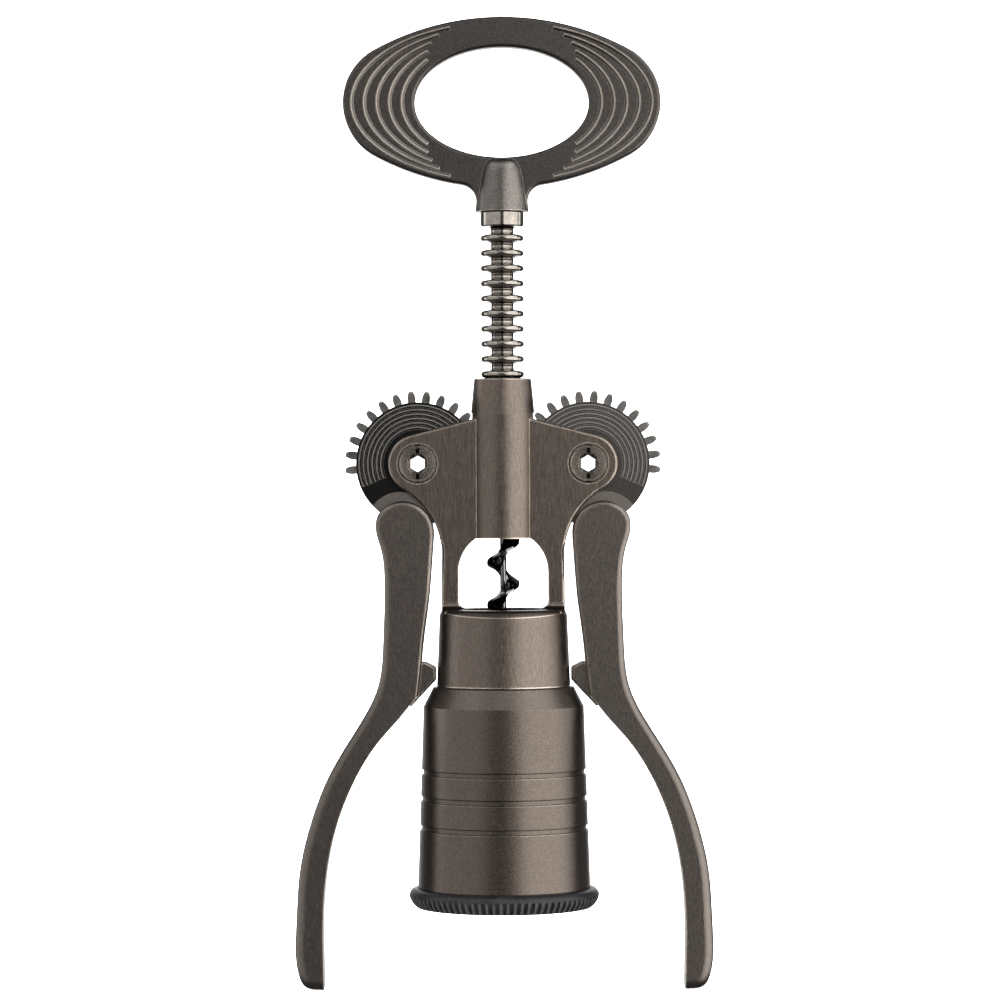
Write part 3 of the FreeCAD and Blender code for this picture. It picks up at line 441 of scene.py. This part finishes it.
def dark_plastic(name):
    """Dull low-friction plastic of the insert and the washers."""
    g = Graph(name)
    point = g.place()
    skin = g.noise(point, 3.0, detail=3.0)
    return g.finish(
        Base_Color=g.mix(g.noise(point, 0.3, detail=4.0), (0.03, 0.03, 0.032), (0.055, 0.055, 0.058)),
        Roughness=g.ramp(skin, 0.3, 0.7, 0.42, 0.58),
        Normal=g.bump(skin, 0.2, 0.04),
    )


# ---------------------------------------------------------------- materials on the nodes
bronze = brushed_bronze("bronze_brushed", casting=True)
lever_bronze = brushed_bronze(
    "bronze_levers", grain=(1.5, 1.5, 0.30), light=(0.158, 0.142, 0.130), dark=(0.104, 0.094, 0.086)
)
sleeve_bronze = blasted_bronze("bronze_sleeve", grit=(1.7, 1.7, 3.0), lined=True)
handle_bronze = blasted_bronze(
    "bronze_handle", grit=(2.4, 2.4, 1.8), light=(0.100, 0.093, 0.087), dark=(0.060, 0.056, 0.053)
)
nickel = dark_nickel("nickel_dark")
plastic = dark_plastic("plastic_dark")
steel = blackened_steel("steel_black")
black_rubber = rubber("rubber_black")
worm_black = black_gloss("worm_black")

finishes = {
    "frame": bronze,
    "handle": handle_bronze,
    "handle_set_screw": steel,
    "thrust_collar": nickel,
    "rack_spindle": dark_nickel("nickel_rings", valleys=True),
    "worm": worm_black,
    "bell_sleeve": sleeve_bronze,
    "bell_insert": plastic,
    "bell_rubber_rim": black_rubber,
    "bell_friction_ring": black_rubber,
    "bell_circlip": steel,
}
for word, side in (("right", 1), ("left", -1)):
    heads = turned_nickel("nickel_heads_" + word, side)
    finishes["pivot_bolt_" + word] = heads
    finishes["pivot_nut_" + word] = heads
    finishes["thrust_washer_front_" + word] = plastic
    finishes["thrust_washer_back_" + word] = plastic
    finishes["gear_sector_" + word] = black_chrome("black_chrome_" + word, side)
    finishes["lever_arm_" + word] = lever_bronze

for name, made in finishes.items():
    for slot in NODES[name].material_slots:
        slot.link = "OBJECT"
        slot.material = made


# ---------------------------------------------------------------- studio
def studio():
    """Pale floor that runs up into a closed white dome, seen by the camera but not mirrored."""
    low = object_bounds()[0].z
    profile = [  # radius and height, in metres
        (0.0, 0.0), (1.2, 0.0), (2.2, 0.02), (2.9, 0.25), (3.3, 0.9), (3.2, 2.0), (2.4, 3.0), (0.0, 3.4)
    ]
    turns = 64  # facets round the dome
    points = [(r * math.cos(2 * math.pi * i / turns), r * math.sin(2 * math.pi * i / turns), low + z)
              for r, z in profile[1:-1] for i in range(turns)]
    bottom, top = len(points), len(points) + 1
    points += [(0, 0, low), (0, 0, low + profile[-1][1])]
    rings = len(profile) - 2
    quads = []
    for i in range(turns):
        j = (i + 1) % turns
        quads.append((bottom, i, j))
        for k in range(rings - 1):
            quads.append((k * turns + i, (k + 1) * turns + i, (k + 1) * turns + j, k * turns + j))
        quads.append((top, (rings - 1) * turns + j, (rings - 1) * turns + i))
    mesh = bpy.data.meshes.new("studio")
    mesh.from_pydata(points, [], quads)
    mesh.shade_smooth()
    dome = bpy.data.objects.new("studio", mesh)
    bpy.context.scene.collection.objects.link(dome)
    g = Graph("studio_white")
    white = g.finish(
        Base_Color=(0.92, 0.92, 0.92), Roughness=0.9, Emission_Color=(1, 1, 1, 1), Emission_Strength=0.85
    )
    mesh.materials.append(white)
    dome.visible_glossy = False
    dome.visible_shadow = False
    dome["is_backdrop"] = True


def softbox(name, azimuth, height, distance, width, tall, power, tint=(1, 1, 1)):
    """A rectangular light facing the object's middle; azimuth is counted from the camera to the right."""
    a = math.radians(azimuth)
    e = math.atan2(height - LIGHT_AIM_Z, distance)
    data = bpy.data.lights.new(name, "AREA")
    data.shape = "RECTANGLE"
    data.size, data.size_y, data.energy, data.color = width, tall, power, tint
    lamp = bpy.data.objects.new(name, data)
    lamp.location = (distance * math.sin(a), -distance * math.cos(a), height)
    lamp.rotation_euler = (math.pi / 2 - e, 0, a)
    lamp.visible_camera = False
    bpy.context.scene.collection.objects.link(lamp)


def camera():
    """Level view of the front from a little over a metre."""
    data = bpy.data.cameras.new("camera")
    data.lens, data.sensor_width = 136.3, 36.0
    data.clip_start, data.clip_end = 0.05, 20.0
    made = bpy.data.objects.new("camera", data)
    made.location = (-0.00086, -1.0828, 0.1162)
    made.rotation_euler = (math.pi / 2, math.radians(0.2), 0)
    bpy.context.scene.collection.objects.link(made)
    bpy.context.scene.camera = made


studio()
# name, azimuth in degrees, height, distance, width and tall in metres, watts, tint
softbox("key_high", 50, 0.50, 1.2, 2.24, 0.64, 11.8, WARM)
softbox("key_low", 58, -0.18, 1.2, 1.84, 0.72, 12.4, WARM)
softbox("fill_high", -54, 0.50, 1.2, 2.50, 0.64, 4.3, PALE)
softbox("fill_low", -62, -0.18, 1.2, 1.90, 0.72, 3.8, PALE)
softbox("back_right", 173, 0.30, 1.2, 0.6, 1.3, 3.6)
softbox("back_left", -164, 0.30, 1.2, 0.6, 1.3, 1.8)
softbox("side_right", 106, 0.05, 1.2, 0.34, 0.9, 1.9)
softbox("side_left", -106, 0.05, 1.2, 0.34, 0.9, 1.9)
softbox("top", 4, 1.25, 1.0, 1.0, 0.5, 2.6)
softbox("top_right", 66, 1.15, 1.0, 1.5, 0.6, 8.5)
softbox("top_left", -66, 1.15, 1.0, 1.5, 0.6, 4.5)
camera()

world = bpy.data.worlds.new("studio_air")
world.use_nodes = True
world.node_tree.nodes["Background"].inputs["Color"].default_value = (0.135, 0.130, 0.128, 1.0)
bpy.context.scene.world = world
bpy.context.scene.view_settings.view_transform = "Standard"
